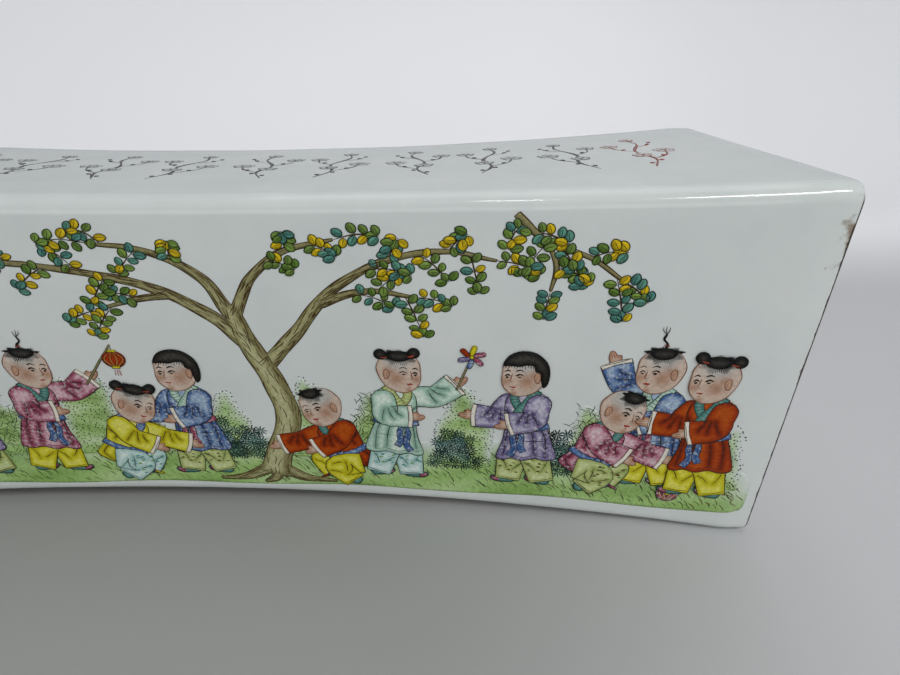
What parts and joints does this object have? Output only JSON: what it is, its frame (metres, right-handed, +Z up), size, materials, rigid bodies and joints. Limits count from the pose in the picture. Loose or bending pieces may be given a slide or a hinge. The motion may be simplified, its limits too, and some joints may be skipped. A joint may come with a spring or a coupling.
{
  "type": "ceramic pillow",
  "caption": "Hollow slab-built porcelain headrest, long and square-ended, with hollowed seat, base, front and back, vented ends and a painted garden scene on the front.",
  "frame": {"origin": "on the resting plane, under the middle of the pillow", "axes": "+X along the length, -Y towards the painted front, +Z up"},
  "size_m": [0.45, 0.118, 0.122],
  "materials": {
    "glazed_porcelain": "clear glossy glaze over white porcelain, faint blue-green, brown along the end edges",
    "bare_porcelain": "matt unglazed porcelain"
  },
  "bodies": {
    "root": {"seat_slab": "glazed_porcelain", "base_slab": "glazed_porcelain", "front_slab": "glazed_porcelain", "back_slab": "glazed_porcelain", "left_end_slab": "glazed_porcelain", "right_end_slab": "glazed_porcelain", "front_seat_strip": "bare_porcelain", "back_seat_strip": "bare_porcelain", "front_base_strip": "bare_porcelain", "back_base_strip": "bare_porcelain", "left_end_strips": "bare_porcelain", "right_end_strips": "bare_porcelain"}
  },
  "joints": []
}
